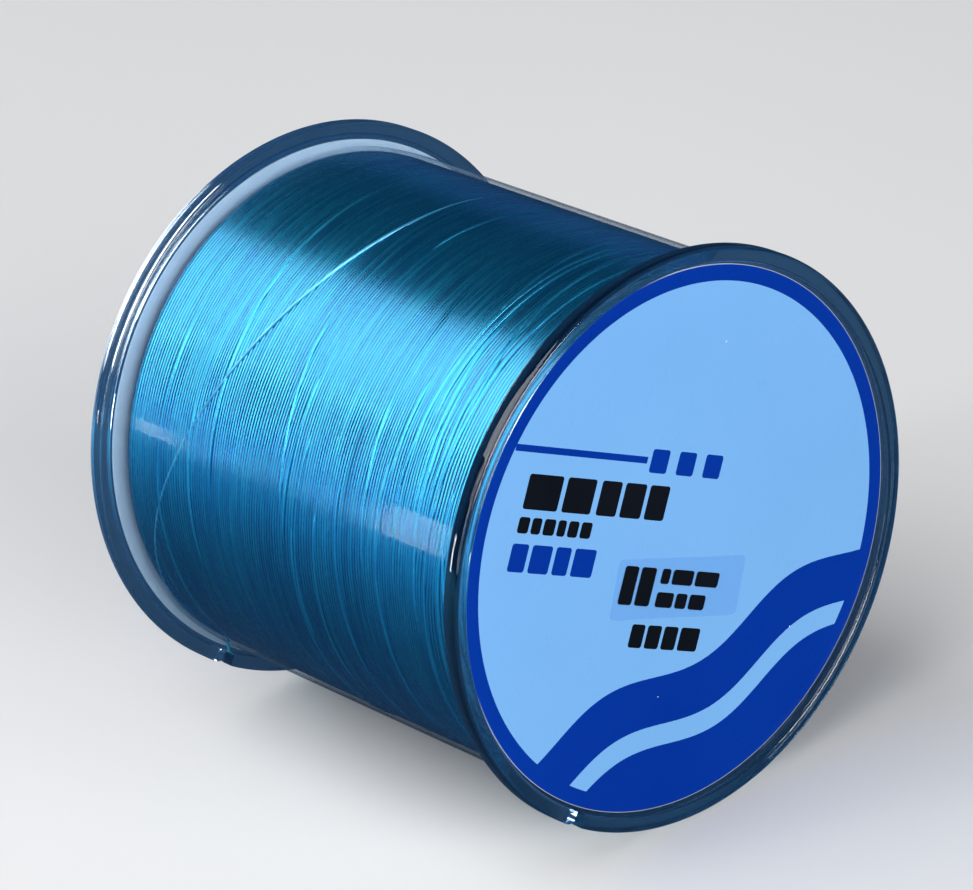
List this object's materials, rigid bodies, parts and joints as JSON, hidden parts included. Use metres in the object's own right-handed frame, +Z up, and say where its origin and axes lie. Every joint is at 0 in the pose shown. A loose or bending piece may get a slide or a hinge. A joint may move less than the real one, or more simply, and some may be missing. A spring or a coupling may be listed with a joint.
{
  "type": "fishing line spool",
  "caption": "Clear flanged spool, full of wound blue nylon line under a clear wrap, with a round label on each end and a line slot in each flange.",
  "frame": {"origin": "on the ground under the middle of the spool, which lies on its two flanges", "axes": "+Y along the spool's axis, from the front label to the rear label; +Z up; +X to the right as seen from the front label"},
  "size_m": [0.07, 0.0668, 0.07],
  "materials": {
    "clear_plastic": "gloss",
    "nylon_line": "gloss",
    "tape": "satin",
    "clear_film": "gloss",
    "front_label_print": "gloss",
    "rear_label_print": "satin",
    "sticker_film": "satin"
  },
  "bodies": {
    "root": {"front_half": "clear_plastic", "rear_half": "clear_plastic", "line_winding": "nylon_line", "line_end": "nylon_line", "start_tape": "tape", "wrap_film": "clear_film", "front_label": "front_label_print", "rear_label": "rear_label_print", "size_sticker": "sticker_film"}
  },
  "joints": []
}
